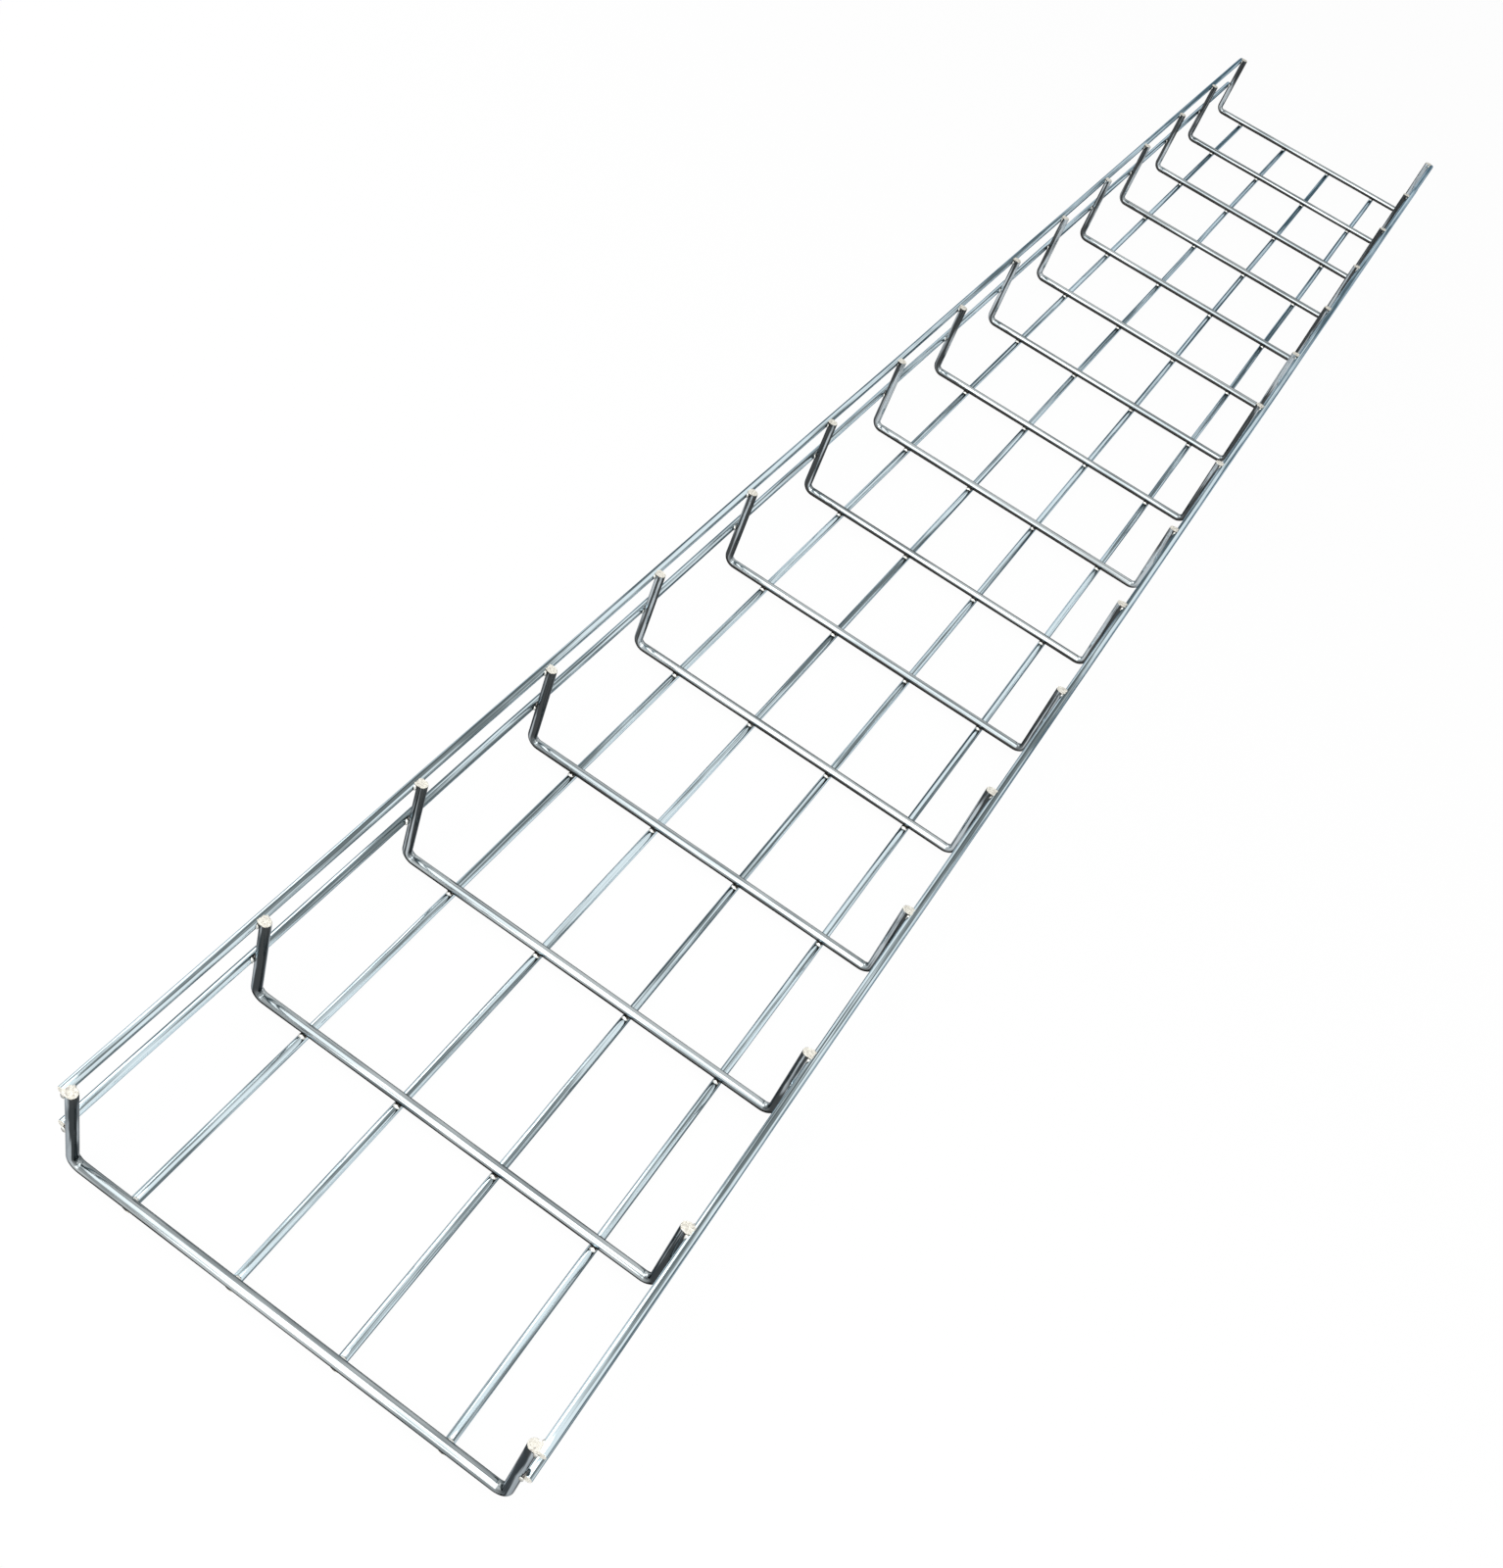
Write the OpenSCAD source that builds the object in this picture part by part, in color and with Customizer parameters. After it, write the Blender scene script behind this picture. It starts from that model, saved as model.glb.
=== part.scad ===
// Wire mesh cable basket: a straight run of welded wire trough.
// U-shaped cross wires stand on straight base wires, and straight side and rim wires
// run along the outside of their legs. Every crossing is a resistance weld.
// +X runs along the trough, +Y across it, +Z up. The base wires lie on Z = 0.

/* [Run] */
// Spacing of the cross wires along the trough
cross_pitch = 100; // [50:5:200]
// Number of mesh cells along the trough
bay_count = 15; // [2:1:28]
// Length of straight wire past the middle of each end cross wire
end_overhang = 1; // [0:0.5:20]

/* [Trough] */
// Clear width between the legs
inside_width = 200; // [60:10:600]
// Spacing of the base wires across the trough
base_pitch = 50; // [30:5:100]
// Height of the rim wires' middle above the middle of the trough floor
rim_height = 50; // [38:1:120]
// Height of the side wires' middle above the middle of the trough floor
side_height = 25; // [12:1:38]

/* [Wire] */
// Diameter of the bent cross wires
cross_wire_d = 5; // [3:0.1:8]
// Diameter of the straight wires
long_wire_d = 4.2; // [3:0.1:8]
// Inside radius of the bend between floor and leg
bend_inside_r = 2.5; // [1:0.5:6]
// Depth that a straight wire sinks into a cross wire at a weld
weld_sink = 0.5; // [0.1:0.1:1]

/* [Hidden] */
$fn = 64;

cross_wire_count = bay_count + 1;
run_length = bay_count * cross_pitch;
long_wire_length = run_length + 2 * end_overhang;

// A straight wire's middle is this far from the middle of the wire it is welded to.
weld_offset = (cross_wire_d + long_wire_d) / 2 - weld_sink;

floor_z = long_wire_d / 2 + weld_offset;
leg_y = (inside_width + cross_wire_d) / 2;
bend_r = bend_inside_r + cross_wire_d / 2;

side_z = floor_z + side_height;
rim_z = floor_z + rim_height;
outer_y = leg_y + weld_offset;

// Legs are cut level with the top of the rim wires.
leg_top_z = rim_z + long_wire_d / 2;

// As many base wires as the flat of the floor takes at their spacing
base_flat = 2 * (leg_y - bend_r) - long_wire_d;
base_wire_count = floor(base_flat / base_pitch) + 1;

function two_digits(number) = str(number < 10 ? "0" : "", number);
function cross_wire_name(index) = str("cross_wire_", two_digits(index + 1));
function cross_wire_x(index) = index * cross_pitch - run_length / 2;
function base_wire_name(index) = str("base_wire_", index + 1);
function base_wire_y(index) = ((base_wire_count - 1) / 2 - index) * base_pitch;

module long_wire(y, z) {
    translate([-long_wire_length / 2, y, z])
        rotate([0, 90, 0])
            cylinder(d = long_wire_d, h = long_wire_length);
}

module base_wire(index) {
    color("lightsteelblue")
        long_wire(base_wire_y(index), long_wire_d / 2);
}

module side_wire(side) {
    color("silver")
        long_wire(side * outer_y, side_z);
}

module rim_wire(side) {
    color("gainsboro")
        long_wire(side * outer_y, rim_z);
}

module straight_wires() {
    for (index = [0 : base_wire_count - 1])
        base_wire(index);
    for (side = [-1, 1]) {
        side_wire(side);
        rim_wire(side);
    }
}

// Leg and bend of the half at +Y, in the plane X = 0
module bent_half() {
    translate([0, leg_y, floor_z + bend_r])
        cylinder(d = cross_wire_d, h = leg_top_z - floor_z - bend_r);
    translate([0, leg_y - bend_r, floor_z + bend_r])
        rotate([90, 90, 90])
            rotate_extrude(angle = 90)
                translate([bend_r, 0])
                    circle(d = cross_wire_d);
}

module bent_wire() {
    bent_half();
    mirror([0, 1, 0])
        bent_half();
    translate([0, bend_r - leg_y, floor_z])
        rotate([-90, 0, 0])
            cylinder(d = cross_wire_d, h = 2 * (leg_y - bend_r));
}

// The straight wires' own shapes are cut out where they sink in at the welds.
module cross_wire(index) {
    color("lightgray")
        difference() {
            translate([cross_wire_x(index), 0, 0])
                bent_wire();
            straight_wires();
        }
}

for (index = [0 : cross_wire_count - 1])
    cross_wire(index);

for (index = [0 : base_wire_count - 1])
    base_wire(index);

side_wire(1);  // side_wire_left
side_wire(-1);  // side_wire_right
rim_wire(1);  // rim_wire_left
rim_wire(-1);  // rim_wire_right
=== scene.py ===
import math
import random
import bpy
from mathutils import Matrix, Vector


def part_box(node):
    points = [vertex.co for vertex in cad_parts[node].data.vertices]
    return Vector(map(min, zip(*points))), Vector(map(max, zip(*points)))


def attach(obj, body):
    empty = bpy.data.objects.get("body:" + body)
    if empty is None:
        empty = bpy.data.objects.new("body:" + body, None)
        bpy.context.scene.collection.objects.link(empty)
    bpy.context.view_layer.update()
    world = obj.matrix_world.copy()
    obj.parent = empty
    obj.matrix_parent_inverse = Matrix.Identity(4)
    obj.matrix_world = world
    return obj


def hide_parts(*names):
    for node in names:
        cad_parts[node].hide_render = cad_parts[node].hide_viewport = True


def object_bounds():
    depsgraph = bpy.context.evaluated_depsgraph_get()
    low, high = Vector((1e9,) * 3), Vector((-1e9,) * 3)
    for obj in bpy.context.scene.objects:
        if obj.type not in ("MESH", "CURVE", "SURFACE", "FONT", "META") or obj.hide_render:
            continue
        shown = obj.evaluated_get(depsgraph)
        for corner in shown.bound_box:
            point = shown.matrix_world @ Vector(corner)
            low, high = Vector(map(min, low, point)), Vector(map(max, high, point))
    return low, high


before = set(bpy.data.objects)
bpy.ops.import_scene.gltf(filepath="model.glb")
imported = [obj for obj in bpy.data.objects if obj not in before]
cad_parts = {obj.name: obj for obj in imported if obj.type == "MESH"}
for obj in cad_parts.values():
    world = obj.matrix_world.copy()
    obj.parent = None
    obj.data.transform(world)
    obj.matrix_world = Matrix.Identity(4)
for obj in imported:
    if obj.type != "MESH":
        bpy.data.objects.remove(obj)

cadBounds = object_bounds()
crossNodes = sorted(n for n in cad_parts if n.startswith("cross_wire_"))
baseNodes = sorted(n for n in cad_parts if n.startswith("base_wire_"))
sideNodes = ["side_wire_left", "side_wire_right"]
rimNodes = ["rim_wire_left", "rim_wire_right"]
levelWithin = 0.00001                        # how close to a wire's end a face or an edge is part of the end
flatFacing = 0.99                            # least share of a flat end's normal that points along the wire
roundFacing = 0.5                            # the same with the end's rounded edge counted in
mergeWithin = 0.000002


def asVectors(box):
    return Vector(box[0]), Vector(box[1])


def middleOf(node):
    lo, hi = asVectors(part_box(node))
    return (lo + hi) / 2


def inwardOf(node):                          # which way along Y the middle of the basket lies
    return -math.copysign(1.0, middleOf(node).y)


def editMode():
    bpy.ops.object.mode_set(mode="EDIT")


def objectMode():
    bpy.ops.object.mode_set(mode="OBJECT")


def deselectAll():
    if bpy.context.object and bpy.context.object.mode != "OBJECT":
        objectMode()
    bpy.ops.object.select_all(action="DESELECT")


def makeActive(piece):
    deselectAll()
    piece.select_set(True)
    bpy.context.view_layer.objects.active = piece


def pickFaces(piece, test):                  # leaves the piece in edit mode with the wanted faces picked
    makeActive(piece)
    editMode()
    bpy.ops.mesh.select_mode(type="FACE")
    bpy.ops.mesh.select_all(action="DESELECT")
    objectMode()
    for face in piece.data.polygons:
        face.select = test(face.center, face.normal)
    editMode()


def extrudeSteps(move, steps):
    for _ in range(steps):
        bpy.ops.mesh.extrude_region_move(TRANSFORM_OT_translate={"value": tuple(v / steps for v in move)})


def roughen(offset, seed, evenly=0.4):       # small seeded dents all over the active piece
    editMode()
    bpy.ops.mesh.select_all(action="SELECT")
    bpy.ops.transform.vertex_random(offset=offset, uniform=evenly, normal=1.0 - evenly, seed=seed)
    objectMode()


def copyPiece(source, name):
    twin = source.copy()
    twin.data = source.data.copy()
    twin.name = name
    twin.data.name = name
    bpy.context.collection.objects.link(twin)
    return twin


def joinPieces(pieces, name):
    deselectAll()
    for piece in pieces:
        piece.select_set(True)
    bpy.context.view_layer.objects.active = pieces[0]
    bpy.ops.object.join()
    joined = bpy.context.object
    joined.name = name
    joined.data.name = name
    return joined


def applyPlace(piece):
    makeActive(piece)
    bpy.ops.object.transform_apply(location=True, rotation=True, scale=True)


def fixNormals(piece):
    makeActive(piece)
    editMode()
    bpy.ops.mesh.select_all(action="SELECT")
    bpy.ops.mesh.remove_doubles(threshold=mergeWithin)
    bpy.ops.mesh.normals_make_consistent(inside=False)
    objectMode()


def smoothByAngle(piece, degrees):
    makeActive(piece)
    bpy.ops.object.shade_smooth_by_angle(angle=math.radians(degrees))


cameraView = {
    "place": (-0.96219, -0.11721, 0.61173),
    "turn": (0.71738, -0.301106, -1.036862),
    "lens": 37.059,
    "sensor": 36.0,
    "seesFrom": 0.01,
    "seesTo": 60.0,
}

bpy.ops.object.camera_add(location=cameraView["place"], rotation=cameraView["turn"])
viewCamera = bpy.context.object
viewCamera.name = "viewCamera"
viewCamera.data.lens = cameraView["lens"]
viewCamera.data.sensor_width = cameraView["sensor"]
viewCamera.data.sensor_fit = "AUTO"
viewCamera.data.clip_start = cameraView["seesFrom"]
viewCamera.data.clip_end = cameraView["seesTo"]
bpy.context.scene.camera = viewCamera
bpy.context.scene.view_settings.view_transform = "Standard"
print("camera set")


def newMaterial(name):
    material = bpy.data.materials.new(name)
    material.use_nodes = True
    tree = material.node_tree
    return material, tree, tree.nodes["Principled BSDF"]


def addNode(tree, kind, **values):
    node = tree.nodes.new(kind)
    for key, value in values.items():
        setattr(node, key, value)
    return node


def link(tree, source, target):
    tree.links.new(source, target)


def noiseNode(tree, coords, stretch, scale, detail, roughness=0.5):
    mapping = addNode(tree, "ShaderNodeMapping")
    mapping.inputs["Scale"].default_value = stretch
    link(tree, coords, mapping.inputs["Vector"])
    noise = addNode(tree, "ShaderNodeTexNoise")
    noise.inputs["Scale"].default_value = scale
    noise.inputs["Detail"].default_value = detail
    noise.inputs["Roughness"].default_value = roughness
    link(tree, mapping.outputs["Vector"], noise.inputs["Vector"])
    return noise.outputs["Fac"]


def rampNode(tree, fac, stops):
    ramp = addNode(tree, "ShaderNodeValToRGB")
    elements = ramp.color_ramp.elements
    while len(elements) < len(stops):
        elements.new(0.5)
    for element, (place, color) in zip(elements, stops):
        element.position = place
        element.color = (*color, 1.0)
    link(tree, fac, ramp.inputs["Fac"])
    return ramp.outputs["Color"]


def rangeNode(tree, value, low, high, toLow, toHigh):
    ranged = addNode(tree, "ShaderNodeMapRange")
    ranged.interpolation_type = "SMOOTHSTEP"
    ranged.inputs["From Min"].default_value = low
    ranged.inputs["From Max"].default_value = high
    ranged.inputs["To Min"].default_value = toLow
    ranged.inputs["To Max"].default_value = toHigh
    link(tree, value, ranged.inputs["Value"])
    return ranged.outputs["Result"]


def mixColor(tree, fac, first, second, blend="MIX"):
    mix = addNode(tree, "ShaderNodeMix", data_type="RGBA", blend_type=blend)
    for key, value in ((0, fac), (6, first), (7, second)):     # the node's colour inputs are 6 and 7
        if isinstance(value, (int, float)):
            mix.inputs[key].default_value = value
        elif isinstance(value, tuple):
            mix.inputs[key].default_value = (*value, 1.0)
        else:
            link(tree, value, mix.inputs[key])
    return mix.outputs[2]


def mathNode(tree, operation, first, second=0.0):
    node = addNode(tree, "ShaderNodeMath", operation=operation)
    for key, value in ((0, first), (1, second)):
        if isinstance(value, (int, float)):
            node.inputs[key].default_value = value
        else:
            link(tree, value, node.inputs[key])
    return node.outputs[0]


studio = {
    "floorSize": 30.0,
    "floorColor": (0.86, 0.86, 0.86),
    "floorRoughness": 0.9,
    "floorGloss": 0.1,
    "whiteShare": 0.96,                      # share of plain white in the floor as the camera sees it
    "roomLevel": 0.50,                       # the room's own light on matt surfaces
    "softboxes": [                           # name, place, aim, width, depth, power
        ("softboxTop", (-1.4, 0.1, 1.5), (-1.4, 0.1, 0.0), 1.8, 1.5, 23.0),
        ("softboxBack", (-2.9, 0.0, 0.95), (0.0, 0.0, 0.1), 1.4, 1.1, 12.0),
        ("softboxLeft", (-0.1, 1.5, 0.9), (-0.4, 0.0, 0.0), 1.0, 1.1, 8.0),
        ("softboxRight", (-1.3, -1.6, 1.2), (-0.2, 0.0, 0.0), 0.9, 0.7, 4.0),
    ],
}

# one plain white room: the camera and the metal both see it at a strength of 1
world = bpy.data.worlds.new("studioRoom")
bpy.context.scene.world = world
world.use_nodes = True
roomTree = world.node_tree
roomTree.nodes.clear()
roomOut = addNode(roomTree, "ShaderNodeOutputWorld")
roomShade = addNode(roomTree, "ShaderNodeBackground")
link(roomTree, roomShade.outputs[0], roomOut.inputs["Surface"])


def seenDirectly(tree):                      # 1 for the camera, the metal and glass, 0 for matt surfaces
    path = addNode(tree, "ShaderNodeLightPath")
    seen = mathNode(tree, "MAXIMUM", path.outputs["Is Camera Ray"], path.outputs["Is Glossy Ray"])
    return mathNode(tree, "MAXIMUM", seen, path.outputs["Is Transmission Ray"])


link(roomTree, mixColor(roomTree, seenDirectly(roomTree), (studio["roomLevel"],) * 3, (1.0, 1.0, 1.0)),
     roomShade.inputs["Color"])

bpy.ops.mesh.primitive_plane_add(size=studio["floorSize"], location=(0.0, 0.0, 0.0))
studioFloor = bpy.context.object
studioFloor.name = "studioFloor"
floorMaterial, floorTree, floorShade = newMaterial("paleFloor")
floorShade.inputs["Base Color"].default_value = (*studio["floorColor"], 1.0)
floorShade.inputs["Roughness"].default_value = studio["floorRoughness"]
floorShade.inputs["Specular IOR Level"].default_value = studio["floorGloss"]
floorWhite = addNode(floorTree, "ShaderNodeEmission")
floorMix = addNode(floorTree, "ShaderNodeMixShader")
floorSeenWhite = mathNode(floorTree, "MULTIPLY", seenDirectly(floorTree), studio["whiteShare"])
link(floorTree, floorSeenWhite, floorMix.inputs[0])
link(floorTree, floorShade.outputs[0], floorMix.inputs[1])
link(floorTree, floorWhite.outputs[0], floorMix.inputs[2])
link(floorTree, floorMix.outputs[0], floorTree.nodes["Material Output"].inputs["Surface"])
studioFloor.data.materials.append(floorMaterial)

for name, place, aim, width, depth, power in studio["softboxes"]:
    bpy.ops.object.light_add(type="AREA", location=place)
    lamp = bpy.context.object
    lamp.name = name
    lamp.data.shape = "RECTANGLE"
    lamp.data.size = width
    lamp.data.size_y = depth
    lamp.data.energy = power
    lamp.rotation_euler = (Vector(aim) - Vector(place)).to_track_quat("-Z", "Y").to_euler()
    lamp.visible_camera = False
print("studio set")


drawnZinc = {                                # noises as stretch along and across the wire, scale and detail
    "roughness": (0.06, 0.14),
    "gloss": ((30.0, 200.0, 200.0), 4.0, 4.0),
    "glossRange": (0.35, 0.7),
    "waves": ((10.0, 70.0, 70.0), 2.0, 1.0),
    "waveHeight": 0.00022,
    "lines": ((12.0, 1600.0, 1600.0), 1.0, 4.0),
    "lineHeight": 0.000004,
    "patches": ((27.0, 180.0, 180.0), 1.0, 3.0),
    "marks": ((2.5, 850.0, 850.0), 1.0, 1.0),
    "marksRange": (0.57, 0.68),
    "drift": ((11.0, 40.0, 40.0), 1.0, 2.0),
    "streakAlong": 5.0,
    "streakDetail": 3.0,
    "offsets": (-5.0, 5.0),                  # each wire shows its own stretch of the finish
}
longZinc = {                                 # dull and clean zinc, and the reflection left at a grazing angle
    "dull": (0.15, 0.185, 0.195),
    "clean": (0.71, 0.83, 0.88),
    "edgeTint": (0.30, 0.39, 0.47),
    "fineness": (740.0, 0.18),               # how fine the streaks are, and the larger patches' share
    "streaks": (0.43, 0.55),                 # where in the noise dull zinc turns to clean
    "lineTone": 0.45,                        # how dark the fine drawing lines are
}
crossZinc = {
    "dull": (0.23, 0.26, 0.27),
    "clean": (0.47, 0.51, 0.52),
    "edgeTint": (0.07, 0.08, 0.08),
    "fineness": (420.0, 0.35),
    "streaks": (0.42, 0.56),
    "lineTone": 0.55,
    # painted shade: the lower side of the floor run is painted near black, as the shade under a wire
    "paintedUnderShade": (0.045, 0.044, 0.042),
    "paintedUnderShadeRange": (-0.42, -0.05),        # in wire radii from the axis towards the outside of the bends
    "paintedUnderShadeDrift": 1.0,
}
legZincPaintedDark = {                                  # painted dark reflection: the legs are painted much darker than the floor run
    "dull": (0.055, 0.060, 0.062),
    "clean": (0.50, 0.55, 0.58),
    "edgeTint": (0.45, 0.47, 0.49),
    "fineness": (420.0, 0.35),
    "streaks": (0.48, 0.57),
    "lineTone": 0.30,
}


def bumpNode(tree, height, distance, under=None):
    bump = addNode(tree, "ShaderNodeBump")
    bump.inputs["Strength"].default_value = 1.0
    bump.inputs["Distance"].default_value = distance
    link(tree, height, bump.inputs["Height"])
    if under is not None:
        link(tree, under, bump.inputs["Normal"])
    return bump.outputs[0]


def zincSurface(name, finish):                   # gloss, slow waves and fine drawing lines along the wire
    material, tree, shade = newMaterial(name)
    coords = addNode(tree, "ShaderNodeAttribute", attribute_name="straightened").outputs["Vector"]
    shade.inputs["Metallic"].default_value = 1.0
    shade.inputs["Specular Tint"].default_value = (*finish["edgeTint"], 1.0)
    gloss = noiseNode(tree, coords, *drawnZinc["gloss"])
    gloss = rangeNode(tree, gloss, *drawnZinc["glossRange"], *drawnZinc["roughness"])
    link(tree, gloss, shade.inputs["Roughness"])
    waves = bumpNode(tree, noiseNode(tree, coords, *drawnZinc["waves"]), drawnZinc["waveHeight"])
    lines = noiseNode(tree, coords, *drawnZinc["lines"])
    link(tree, bumpNode(tree, lines, drawnZinc["lineHeight"], waves), shade.inputs["Normal"])
    return material, tree, shade, coords


def zincColor(tree, coords, finish):             # long streaks along the wire over larger dull patches
    fine, patchShare = finish["fineness"]
    streaks = noiseNode(tree, coords, (drawnZinc["streakAlong"], fine, fine), 1.0, drawnZinc["streakDetail"])
    patches = noiseNode(tree, coords, *drawnZinc["patches"])
    both = mathNode(tree, "ADD", mathNode(tree, "MULTIPLY", streaks, 1.0 - patchShare),
                    mathNode(tree, "MULTIPLY", patches, patchShare))
    low, high = finish["streaks"]
    color = mixColor(tree, rangeNode(tree, both, low, high, 0.0, 1.0), finish["dull"], finish["clean"])
    marks = noiseNode(tree, coords, *drawnZinc["marks"])
    kept = rangeNode(tree, marks, *drawnZinc["marksRange"], 1.0, 1.0 - finish["lineTone"])
    grey = addNode(tree, "ShaderNodeCombineColor")
    for channel in grey.inputs:
        link(tree, kept, channel)
    return mixColor(tree, 1.0, color, grey.outputs[0], "MULTIPLY")


def longWireMaterial():
    material, tree, shade, coords = zincSurface("zincOnLongWire", longZinc)
    link(tree, zincColor(tree, coords, longZinc), shade.inputs["Base Color"])
    return material


def crossWireMaterial(name, finish, radius, bendStart, bendEnd):     # its two colours meet round the bend
    material, tree, shade, coords = zincSurface(name, finish)
    fromMiddle = addNode(tree, "ShaderNodeAttribute", attribute_name="fromMiddle").outputs["Fac"]
    onLeg = rangeNode(tree, fromMiddle, bendStart, bendEnd, 0.0, 1.0)
    parts = addNode(tree, "ShaderNodeSeparateXYZ")
    link(tree, coords, parts.inputs[0])
    # painted shade: from just above the axis downwards the floor run turns to the near black painted shade,
    # its edge wobbling a little
    drift = mathNode(tree, "SUBTRACT", noiseNode(tree, coords, *drawnZinc["drift"]), 0.5)
    drift = mathNode(tree, "MULTIPLY", drift, radius * crossZinc["paintedUnderShadeDrift"])
    low, high = crossZinc["paintedUnderShadeRange"]
    height = mathNode(tree, "ADD", parts.outputs["Z"], drift)
    underShadeShare = rangeNode(tree, height, radius * low, radius * high, 0.0, 1.0)
    floorRun = mixColor(tree, underShadeShare, zincColor(tree, coords, crossZinc), crossZinc["paintedUnderShade"])
    # painted dark reflection: round the bend the colour turns to the much darker leg colours
    link(tree, mixColor(tree, onLeg, floorRun, zincColor(tree, coords, legZincPaintedDark)), shade.inputs["Base Color"])
    return material


shearedEnd = {                                   # cut wire end under thin zinc: pale, rough, speckled
    "pits": (0.30, 0.27, 0.26),
    "middle": (0.64, 0.62, 0.55),
    "high": (0.78, 0.76, 0.69),
    "stops": (0.30, 0.45, 0.62),
    "grains": ((900.0, 900.0, 900.0), 1.0, 5.0, 0.7),
    "grainHeight": 0.00025,
    "metallic": 0.35,
    "roughness": 0.6,
}
weldZinc = {
    "dull": (0.62, 0.62, 0.58),
    "clean": (0.84, 0.84, 0.80),
    # painted shade: the collar round each weld's neck is painted dark, as shade in the crease where the wires
    # meet
    "neckShadeDeep": (0.09, 0.085, 0.08),
    "neckShadeSoft": (0.18, 0.17, 0.16),
    "stops": (0.3, 0.6),
    "edgeTint": (0.15, 0.15, 0.15),
    "lumps": ((700.0, 700.0, 700.0), 1.0, 3.0),
    "lumpHeight": 0.00015,
    "roughness": 0.24,
}


def cutMaterial():
    material, tree, shade = newMaterial("shearedEnd")
    coords = addNode(tree, "ShaderNodeTexCoord").outputs["Object"]
    grains = noiseNode(tree, coords, *shearedEnd["grains"])
    colors = (shearedEnd["pits"], shearedEnd["middle"], shearedEnd["high"])
    link(tree, rampNode(tree, grains, list(zip(shearedEnd["stops"], colors))), shade.inputs["Base Color"])
    shade.inputs["Metallic"].default_value = shearedEnd["metallic"]
    shade.inputs["Roughness"].default_value = shearedEnd["roughness"]
    link(tree, bumpNode(tree, grains, shearedEnd["grainHeight"]), shade.inputs["Normal"])
    return material


def weldMaterial(name, dull, clean):
    material, tree, shade = newMaterial(name)
    coords = addNode(tree, "ShaderNodeTexCoord").outputs["Object"]
    lumps = noiseNode(tree, coords, *weldZinc["lumps"])
    link(tree, rampNode(tree, lumps, list(zip(weldZinc["stops"], (dull, clean)))), shade.inputs["Base Color"])
    shade.inputs["Metallic"].default_value = 1.0
    shade.inputs["Specular Tint"].default_value = (*weldZinc["edgeTint"], 1.0)
    shade.inputs["Roughness"].default_value = weldZinc["roughness"]
    link(tree, bumpNode(tree, lumps, weldZinc["lumpHeight"]), shade.inputs["Normal"])
    return material


zincLong = longWireMaterial()
cutEnd = cutMaterial()
zincWeld = weldMaterial("zincOnWeld", weldZinc["dull"], weldZinc["clean"])
paintedShadeZinc = weldMaterial("zincPaintedShade", weldZinc["neckShadeDeep"], weldZinc["neckShadeSoft"])
print("finishes made")


straightWire = {
    "sides": 32,
    "stretch": 0.025,                        # length of each drawn stretch
    "endRound": 0.00035,
    "endInset": 0.0007,
    "endDish": 0.00012,
    "endFinish": 0.00025,                    # how far in from an end the sheared finish runs
    "wander": 0.00022,                       # how far a wire strays from dead straight
    "wanderWaves": 3,
    "wanderLength": (0.18, 0.5),
    "insideGap": 0.00001,                    # keeps the outer wires just inside the overall box
    "smoothAngle": 40,
}


def wander(name, x):                         # slow, seeded drift along a wire
    seeded = random.Random(name)
    waves = straightWire["wanderWaves"]
    drift = 0.0
    for _ in range(waves):
        length = seeded.uniform(*straightWire["wanderLength"])
        drift += math.sin(2.0 * math.pi * (x / length + seeded.random())) / waves
    return drift


def finishOffset(node):
    return random.Random(node).uniform(*drawnZinc["offsets"])


def makeStraightWire(lengthX, radius):
    cfg = straightWire
    deselectAll()
    bpy.ops.mesh.primitive_circle_add(vertices=cfg["sides"], radius=radius, fill_type="NGON",
                                      location=(-lengthX / 2, 0.0, 0.0), rotation=(0.0, math.pi / 2, 0.0))
    wire = bpy.context.object
    applyPlace(wire)
    editMode()
    bpy.ops.mesh.select_mode(type="VERT")
    bpy.ops.mesh.select_all(action="SELECT")
    extrudeSteps((lengthX, 0.0, 0.0), round(lengthX / cfg["stretch"]))
    objectMode()
    fixNormals(wire)
    half = lengthX / 2 - levelWithin
    pickFaces(wire, lambda c, n: abs(c.x) > half)
    bpy.ops.mesh.bevel(offset=cfg["endRound"], segments=3, affect="EDGES")
    objectMode()
    pickFaces(wire, lambda c, n: abs(c.x) > half and abs(n.x) > flatFacing)
    bpy.ops.mesh.inset(thickness=cfg["endInset"], depth=-cfg["endDish"])
    objectMode()
    wire.data.materials.append(zincLong)
    wire.data.materials.append(cutEnd)
    for face in wire.data.polygons:
        if abs(face.center.x) > half - cfg["endFinish"] and abs(face.normal.x) > roundFacing:
            face.material_index = 1
    smoothByAngle(wire, cfg["smoothAngle"])
    return wire


lo, hi = asVectors(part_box(baseNodes[0]))
longRadius = (hi.z - lo.z) / 2
firstStraight = makeStraightWire(hi.x - lo.x, longRadius)
keptInside = straightWire["wander"] + straightWire["insideGap"]
for node in baseNodes + sideNodes + rimNodes:
    middle = middleOf(node)
    inward = inwardOf(node)
    wire = copyPiece(firstStraight, "drawn_" + node)
    offset = finishOffset(node)
    straightened = wire.data.attributes.new("straightened", "FLOAT_VECTOR", "POINT")
    for vertex in wire.data.vertices:
        straightened.data[vertex.index].vector = (vertex.co.x + offset, vertex.co.y, -vertex.co.z)
        drift = wander(node, vertex.co.x) * straightWire["wander"]
        shift = drift if node in baseNodes else inward * (drift + keptInside)
        vertex.co += Vector((middle.x, middle.y + shift, middle.z))
    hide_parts(node)
    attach(wire, "root")
bpy.data.objects.remove(firstStraight)
print("straight wires made")


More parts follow.
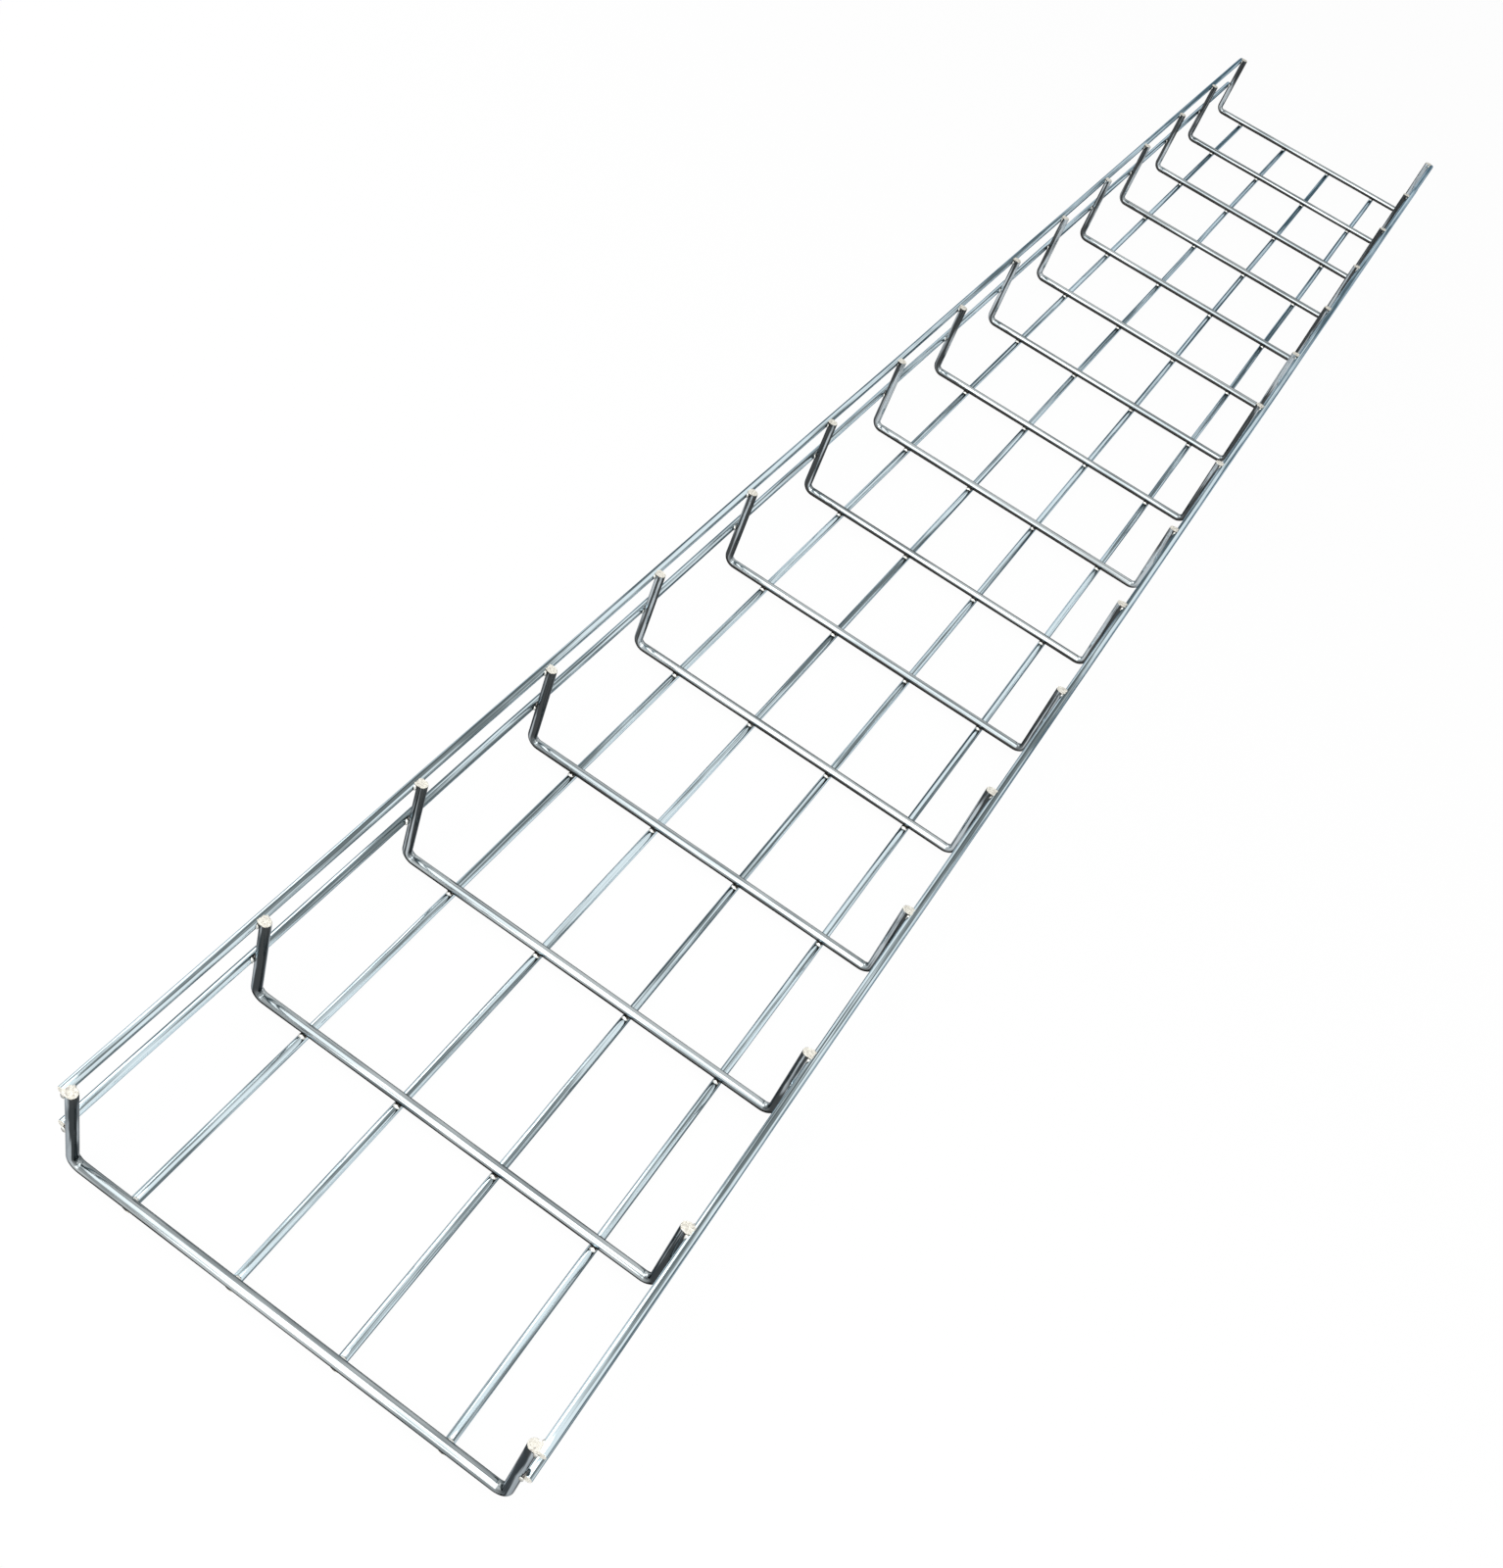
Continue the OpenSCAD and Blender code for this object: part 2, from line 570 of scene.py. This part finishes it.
bentWire = {
    "sides": 28,
    "legCuts": 6,
    "bendSteps": 14,
    "floorCuts": 24,
    "bendCentreRadius": 0.005,
    "bendTurn": math.pi / 2,
    "endRound": 0.00022,
    "endInset": 0.0006,
    "endDish": 0.00008,
    "endBoss": 0.00006,
    "endFinish": 0.0002,
    "bendSqueeze": 0.06,                     # how much a bend narrows across its own plane
    "pressMark": 0.00016,
    "pressFrom": 0.55,                       # in wire radii from the axis towards the inside of a bend
    "legFinishFrom": 0.6,                    # in bend radii above the floor run's axis
    "smoothAngle": 40,
    "underBurr": 0.0004,                     # a leg stops this far under the top of its burr
}

lo, hi = asVectors(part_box(crossNodes[0]))
crossRadius = (hi.x - lo.x) / 2
legY = hi.y - crossRadius
legTop = hi.z - bentWire["underBurr"]
floorZ = lo.z + crossRadius
bendR = bentWire["bendCentreRadius"]


def straightenedPlace(co):                   # where a point would be on the wire before bending
    side = math.copysign(1.0, co.y)
    y, z = abs(co.y), co.z
    centreY, centreZ = legY - bendR, floorZ + bendR
    flat = centreY
    arc = bendR * math.pi / 2
    if y <= centreY:
        along, out = y, floorZ - z
    elif z >= centreZ:
        along, out = flat + arc + (z - centreZ), y - legY
    else:
        angle = math.atan2(y - centreY, centreZ - z)
        along = flat + arc * angle / (math.pi / 2)
        out = math.hypot(y - centreY, centreZ - z) - bendR
    return (side * along, co.x, out)


def makeBentWire():
    cfg = bentWire
    deselectAll()
    bpy.ops.mesh.primitive_circle_add(vertices=cfg["sides"], radius=crossRadius, fill_type="NOTHING",
                                      location=(0.0, legY, legTop))
    wire = bpy.context.object
    applyPlace(wire)
    editMode()
    bpy.ops.mesh.select_mode(type="VERT")
    bpy.ops.mesh.select_all(action="SELECT")
    legLength = legTop - floorZ - bendR
    extrudeSteps((0.0, 0.0, -legLength), cfg["legCuts"])
    bpy.ops.mesh.spin(steps=cfg["bendSteps"], angle=cfg["bendTurn"], axis=(1.0, 0.0, 0.0),
                      center=(0.0, legY - bendR, floorZ + bendR))
    extrudeSteps((0.0, -2.0 * (legY - bendR), 0.0), cfg["floorCuts"])
    bpy.ops.mesh.spin(steps=cfg["bendSteps"], angle=cfg["bendTurn"], axis=(1.0, 0.0, 0.0),
                      center=(0.0, -legY + bendR, floorZ + bendR))
    extrudeSteps((0.0, 0.0, legLength), cfg["legCuts"])
    bpy.ops.mesh.edge_face_add()
    # close the first end too
    bpy.ops.mesh.select_mode(type="EDGE")
    bpy.ops.mesh.select_all(action="DESELECT")
    objectMode()
    for edge in wire.data.edges:
        a, b = (wire.data.vertices[i].co for i in edge.vertices)
        edge.select = a.y > 0 and min(a.z, b.z) > legTop - levelWithin
    editMode()
    bpy.ops.mesh.edge_face_add()
    objectMode()
    fixNormals(wire)
    pickFaces(wire, lambda c, n: c.z > legTop - levelWithin and n.z > flatFacing)
    bpy.ops.mesh.bevel(offset=cfg["endRound"], segments=2, affect="EDGES")
    objectMode()
    pickFaces(wire, lambda c, n: c.z > legTop - levelWithin and n.z > flatFacing)
    bpy.ops.mesh.inset(thickness=cfg["endInset"], depth=-cfg["endDish"])
    bpy.ops.mesh.inset(thickness=cfg["endInset"], depth=cfg["endBoss"])
    objectMode()
    return wire


firstBent = makeBentWire()
bendEnds = (legY - bendR, legY + bendR)
zincCross = crossWireMaterial("zincOnCrossWire", crossZinc, crossRadius, *bendEnds)
zincLeg = crossWireMaterial("zincOnLeg", legZincPaintedDark, crossRadius, *bendEnds)


def squeezeBends(wire):                      # a bend narrows a little and its inside takes the tool's mark
    centreY, centreZ = legY - bendR, floorZ + bendR
    squeeze = bentWire["bendSqueeze"]
    for vertex in wire.data.vertices:
        co = vertex.co
        side = math.copysign(1.0, co.y)
        y, z = abs(co.y), co.z
        if y > centreY and z < centreZ:
            angle = math.atan2(y - centreY, centreZ - z)
            share = math.sin(2.0 * angle)
            out = math.hypot(y - centreY, z - centreZ) - bendR
            squeezed = bendR + out * (1.0 - squeeze * share)
            if out < -bentWire["pressFrom"] * crossRadius:
                squeezed += bentWire["pressMark"] * share
            co.y = side * (centreY + math.sin(angle) * squeezed)
            co.z = centreZ - math.cos(angle) * squeezed


squeezeBends(firstBent)
straightened = firstBent.data.attributes.new("straightened", "FLOAT_VECTOR", "POINT")
for vertex in firstBent.data.vertices:
    straightened.data[vertex.index].vector = straightenedPlace(vertex.co)
fromMiddle = firstBent.data.attributes.new("fromMiddle", "FLOAT", "POINT")
for vertex in firstBent.data.vertices:
    fromMiddle.data[vertex.index].value = abs(straightenedPlace(vertex.co)[0])
firstBent.data.materials.append(zincCross)
firstBent.data.materials.append(cutEnd)
firstBent.data.materials.append(zincLeg)
for face in firstBent.data.polygons:
    if face.center.z > legTop - bentWire["endFinish"] and face.normal.z > roundFacing:
        face.material_index = 1
    elif face.center.z > floorZ + bendR * bentWire["legFinishFrom"]:
        face.material_index = 2
smoothByAngle(firstBent, bentWire["smoothAngle"])

for node in crossNodes:
    wire = copyPiece(firstBent, "bent_" + node)
    shift = middleOf(node).x
    offset = finishOffset(node)
    for vertex in wire.data.vertices:
        vertex.co.x += shift
    straightened = wire.data.attributes["straightened"]
    for item in straightened.data:
        item.vector = (item.vector[0] + offset, item.vector[1], item.vector[2])
    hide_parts(node)
    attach(wire, "root")
bpy.data.objects.remove(firstBent)
print("bent wires made")


weldBead = {
    "lobe": (0.0015, 0.00165, 0.00105),      # half sizes of one lobe, along the long wire first
    "lobeOut": 0.0027,                       # from the crossing to the middle of a lobe
    "lobeSides": 12,
    "lobeRings": 7,
    "sizeSpread": (0.88, 1.12),
    "placeSpread": (0.95, 1.05),
    "sideways": 0.0003,
    "collar": 0.0019,
    "collarThick": 0.00055,
    "collarSides": 14,
    "collarRound": 6,
    "kinds": 4,
    "endSeed": 9,
    "sink": 0.00025,                         # how far a weld's middle lies inside the long wire
    "rough": 0.00012,
    "collarRough": 0.000072,
    "softEdge": 0.0011,                      # beads flatten over this depth where they near the overall box
}


def makeLobe(place, half, seed):
    deselectAll()
    bpy.ops.mesh.primitive_uv_sphere_add(segments=weldBead["lobeSides"], ring_count=weldBead["lobeRings"],
                                         radius=1.0, location=place, scale=half)
    lobe = bpy.context.object
    applyPlace(lobe)
    roughen(weldBead["rough"], seed)
    return lobe


def makeCollar(seed):
    deselectAll()
    bpy.ops.mesh.primitive_torus_add(major_radius=weldBead["collar"], minor_radius=weldBead["collarThick"],
                                     major_segments=weldBead["collarSides"],
                                     minor_segments=weldBead["collarRound"], location=(0.0, 0.0, 0.0))
    collar = bpy.context.object
    roughen(weldBead["collarRough"], seed)
    return collar


def makeWeld(seed, name, sides=(-1.0, 1.0)):  # centred on the crossing, long wire along X, contact along Z
    cfg = weldBead
    seeded = random.Random(seed)
    pieces = []
    for side in sides:
        half = tuple(h * seeded.uniform(*cfg["sizeSpread"]) for h in cfg["lobe"])
        alongX = side * cfg["lobeOut"] * seeded.uniform(*cfg["placeSpread"])
        alongY = seeded.uniform(-cfg["sideways"], cfg["sideways"])
        pieces.append(makeLobe((alongX, alongY, 0.0), half, seed * 7 + int(side)))
    for piece in pieces:
        piece.data.materials.append(zincWeld)
    collar = makeCollar(seed * 5 + 2)
    # the collar takes the dark painted shade
    collar.data.materials.append(paintedShadeZinc)
    weld = joinPieces(pieces + [collar], name)
    makeActive(weld)
    bpy.ops.object.shade_smooth()
    return weld


weldKinds = [makeWeld(k + 1, "weldKind%d" % k) for k in range(weldBead["kinds"])]
endWeld = makeWeld(weldBead["endSeed"], "weldKindEnd", (1.0,))   # end cross wires have an inner bead only
crossPlaces = [middleOf(node).x for node in crossNodes]


def keepInside(piece, soft):                 # forms that near the overall box are pressed flush
    low, high = asVectors(cadBounds)
    middle, half = (low + high) / 2, (high - low) / 2
    for vertex in piece.data.vertices:
        for axis in range(3):
            away = vertex.co[axis] - middle[axis]
            over = abs(away) - (half[axis] - soft)
            if over > 0.0:
                pressed = half[axis] - soft * math.exp(-over / soft)
                vertex.co[axis] = middle[axis] + math.copysign(pressed, away)


def spreadWelds(name, longNodes, turn, contact):
    copies = []
    seeded = random.Random(name)
    for node in longNodes:
        middle = middleOf(node)
        for x in crossPlaces:
            atEnd = turn == 0.0 and x in (crossPlaces[0], crossPlaces[-1])
            weld = copyPiece(endWeld if atEnd else seeded.choice(weldKinds), "weld")
            flip = x > 0.0 if atEnd else seeded.random() < 0.5
            weld.rotation_euler = (turn, 0.0, math.pi if flip and turn == 0.0 else 0.0)
            weld.location = contact(x, middle)
            copies.append(weld)
    welds = joinPieces(copies, name)
    applyPlace(welds)
    keepInside(welds, weldBead["softEdge"])
    fixNormals(welds)
    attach(welds, "root")


contactGap = longRadius - weldBead["sink"]   # from a long wire's axis to the middle of the weld
spreadWelds("welds_floor", baseNodes, 0.0, lambda x, m: (x, m.y, m.z + contactGap))
for nodes, name in ((sideNodes, "welds_side"), (rimNodes, "welds_rim")):
    for node in nodes:
        inward = inwardOf(node)
        spreadWelds(name + ("_left" if inward < 0 else "_right"), [node], math.pi / 2,
                    lambda x, m, s=inward: (x, m.y + s * contactGap, m.z))
for kind in weldKinds + [endWeld]:
    bpy.data.objects.remove(kind)
print("welds made")


shearBurr = {                                # the shears spread each leg's end over its rim wire
    "sides": 24,
    "half": (0.00255, 0.0035),               # half sizes of the spread end, along the run first
    "depth": 0.0021,
    "neck": 0.0022,
    "outward": 0.001,                        # how far the spread end leans out over the rim wire
    "edgeRound": 0.00025,
    "insets": (0.0006, 0.0008),
    "dish": 0.00012,
    "paleDepth": 0.00075,                    # how far down the sheared finish runs
    "turn": 0.12,                            # how far a burr may be turned from straight out, in radians
    "kinds": 4,
    "firstSeed": 21,
    "rough": 0.00016,
    "underTop": 0.00012,                     # from the top of the overall box down to the burr's own top
    "softEdge": 0.00012,
    "smoothAngle": 50,
}


def makeBurr(seed, name):                    # its top at the origin, leaning out along +Y
    cfg = shearBurr
    deselectAll()
    alongRun, across = cfg["half"]
    bpy.ops.mesh.primitive_cone_add(vertices=cfg["sides"], radius1=cfg["neck"], radius2=alongRun,
                                    depth=cfg["depth"], location=(0.0, 0.0, -cfg["depth"] / 2))
    burr = bpy.context.object
    burr.name = name
    pickFaces(burr, lambda c, n: n.z > flatFacing)
    bpy.ops.transform.resize(value=(1.0, across / alongRun, 1.0), center_override=(0.0, 0.0, 0.0))
    bpy.ops.transform.translate(value=(0.0, cfg["outward"], 0.0))
    bpy.ops.mesh.bevel(offset=cfg["edgeRound"], segments=2, affect="EDGES")
    objectMode()
    applyPlace(burr)
    pickFaces(burr, lambda c, n: n.z > flatFacing and c.z > -cfg["edgeRound"] / 2)
    bpy.ops.mesh.inset(thickness=cfg["insets"][0], depth=-cfg["dish"])
    bpy.ops.mesh.inset(thickness=cfg["insets"][1], depth=cfg["dish"] / 2)
    roughen(cfg["rough"], seed, 0.5)
    burr.data.materials.append(cutEnd)
    burr.data.materials.append(paintedShadeZinc)
    # below the sheared top the burr takes the dark painted-shade zinc of the weld collars
    for face in burr.data.polygons:
        face.material_index = 0 if face.center.z > -cfg["paleDepth"] else 1
    smoothByAngle(burr, cfg["smoothAngle"])
    return burr


burrKinds = [makeBurr(k + shearBurr["firstSeed"], "burrKind%d" % k) for k in range(shearBurr["kinds"])]


def spreadBurrs(name, side):
    seeded = random.Random(name)
    turn = shearBurr["turn"]
    outward = 0.0 if side > 0.0 else math.pi
    copies = []
    for x in crossPlaces:
        burr = copyPiece(seeded.choice(burrKinds), "burr")
        burr.rotation_euler = (0.0, 0.0, outward + seeded.uniform(-turn, turn))
        burr.location = (x, side * legY, cadBounds[1][2] - shearBurr["underTop"])
        copies.append(burr)
    burrs = joinPieces(copies, name)
    applyPlace(burrs)
    keepInside(burrs, shearBurr["softEdge"])
    fixNormals(burrs)
    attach(burrs, "root")


spreadBurrs("burrs_left", 1.0)
spreadBurrs("burrs_right", -1.0)
for kind in burrKinds:
    bpy.data.objects.remove(kind)
print("sheared ends made")
